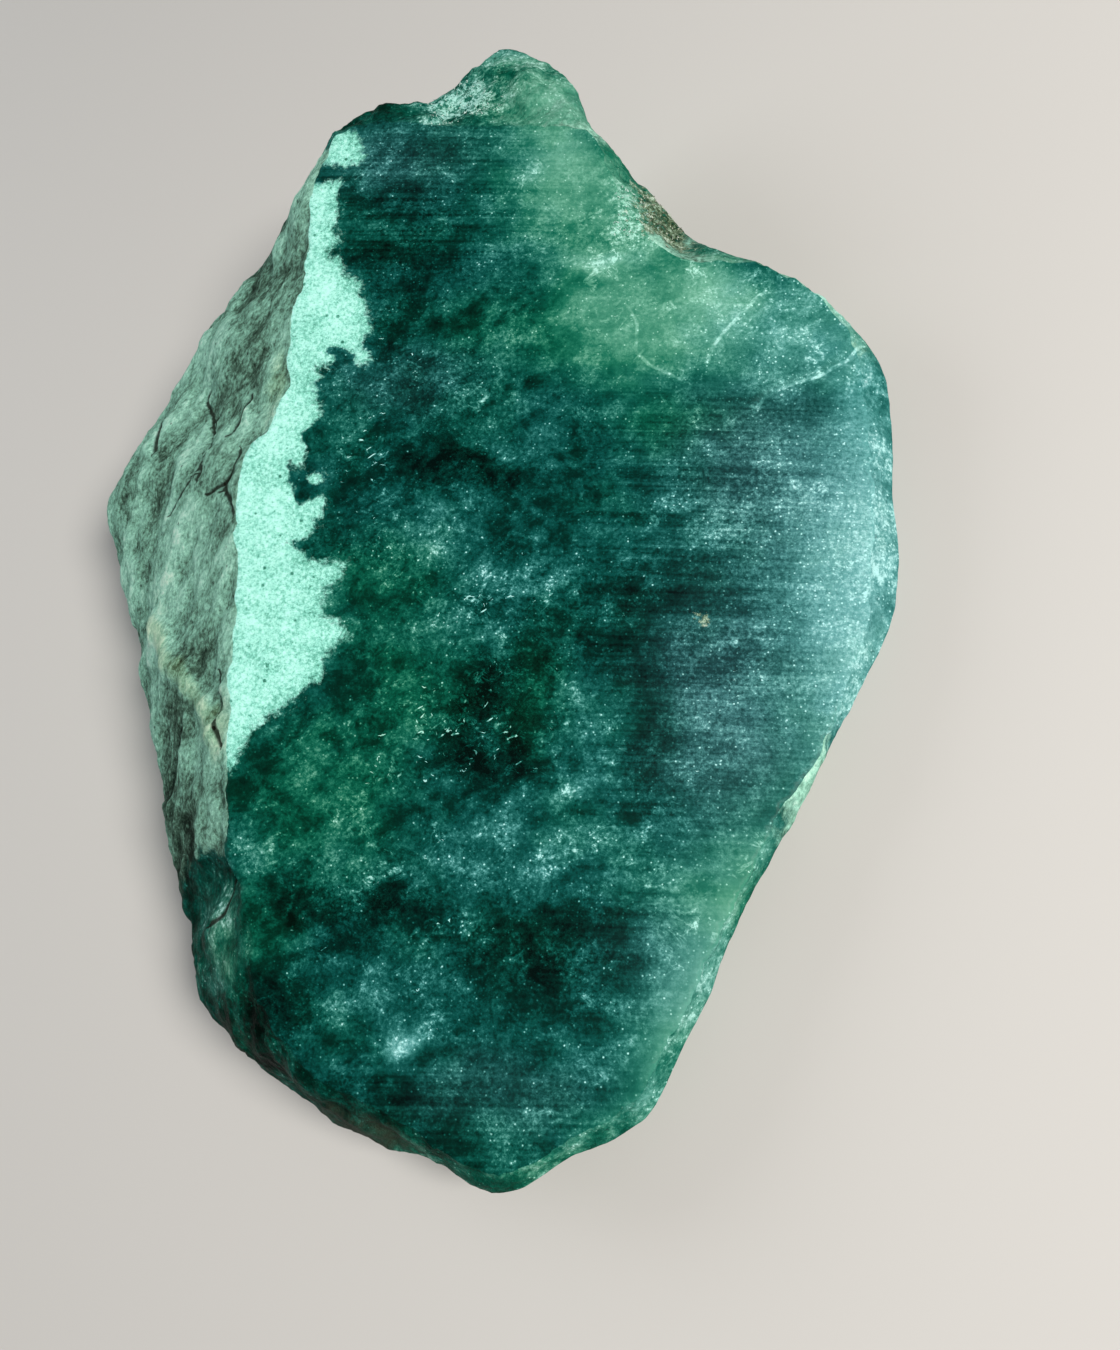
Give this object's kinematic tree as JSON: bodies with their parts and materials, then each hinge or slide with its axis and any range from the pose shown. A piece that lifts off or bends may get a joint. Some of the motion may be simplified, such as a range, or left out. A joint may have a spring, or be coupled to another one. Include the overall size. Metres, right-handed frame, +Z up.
{
  "type": "raw jade boulder",
  "caption": "Rough wedge of nephrite jade with one flat sawn face, a grey-green natural rind along its thick side, a thin translucent edge and a worn underside that it rests on.",
  "frame": {"origin": "middle of the footprint, on the surface that the stone rests on", "axes": "+Y along the stone's length towards its broken top end, +X towards the thin sawn edge, +Z up through the sawn face"},
  "size_m": [0.124, 0.155, 0.0318],
  "materials": {
    "jade": "frosted saw-cut jade, dark green with lighter clouds and a bleached mint band beside a matt grey-green rind"
  },
  "bodies": {
    "root": {"jade_boulder": "jade"}
  },
  "joints": []
}
